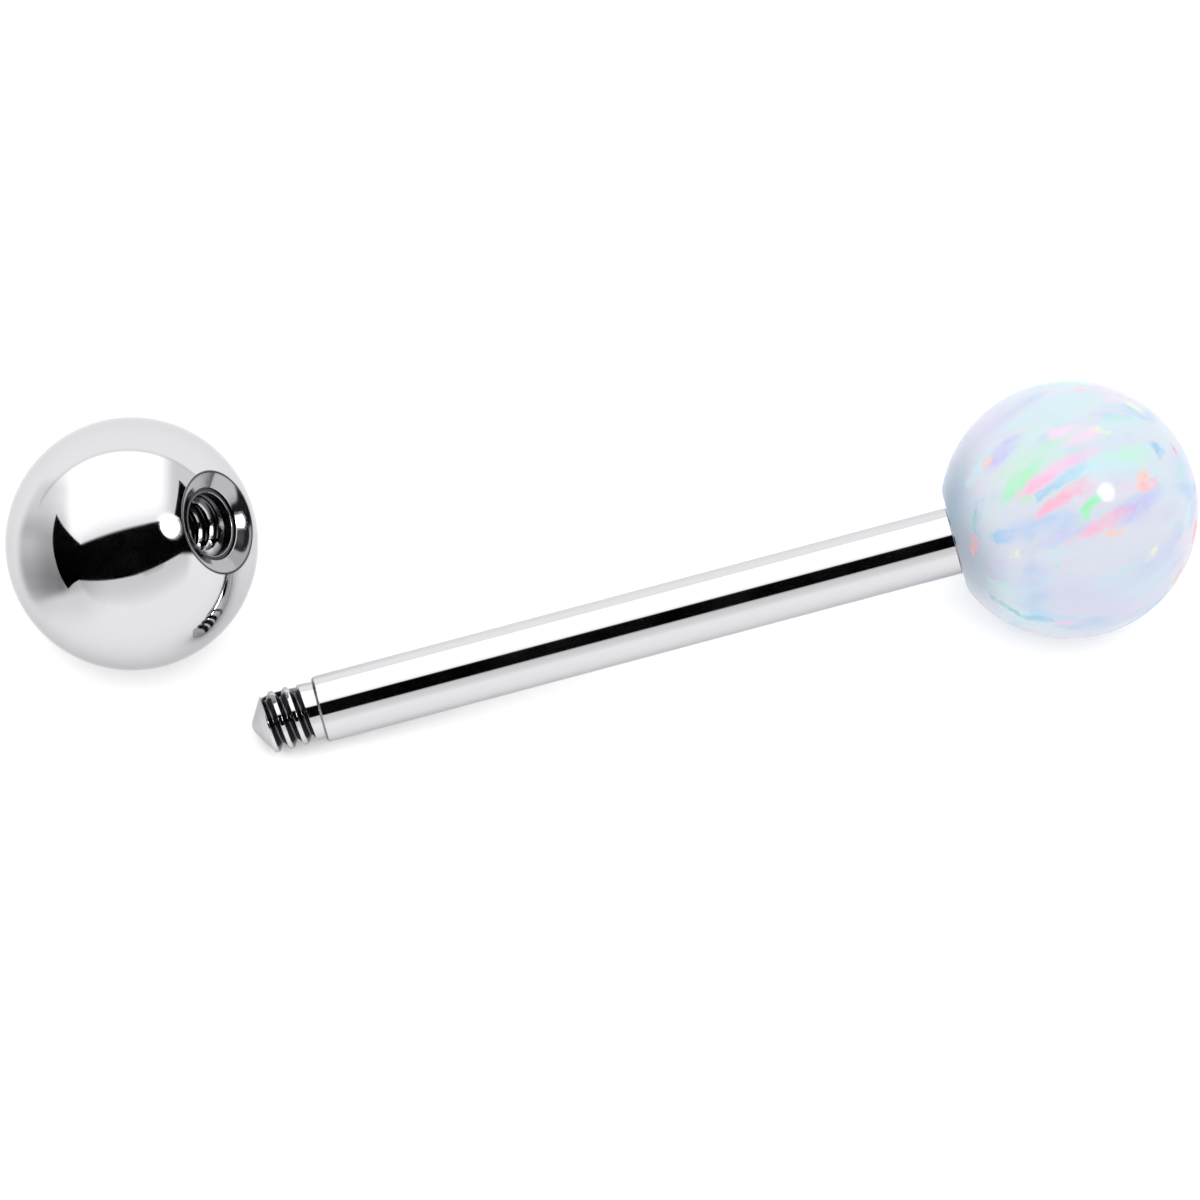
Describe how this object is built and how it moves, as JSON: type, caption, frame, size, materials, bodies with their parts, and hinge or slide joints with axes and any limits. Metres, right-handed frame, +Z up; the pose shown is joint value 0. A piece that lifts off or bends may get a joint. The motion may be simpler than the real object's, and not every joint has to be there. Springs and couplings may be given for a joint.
{
  "type": "tongue barbell",
  "caption": "Straight body jewellery barbell with a fixed opal ball and a threaded steel ball, which is taken off and lies beside the thread.",
  "frame": {"origin": "on the floor, in the middle of the area that the barbell and its loose ball cover", "axes": "+Z up, +X along the shaft as seen from above, from the thread to the opal ball"},
  "size_m": [0.0278, 0.0102, 0.0061],
  "materials": {
    "polished_steel": "surgical steel, polished to a mirror",
    "opal": "polished milky synthetic opal with pink, mint and blue flecks"
  },
  "bodies": {
    "root": {"threaded_shaft": "polished_steel", "opal_ball": "opal", "steel_ball": "polished_steel"}
  },
  "joints": []
}
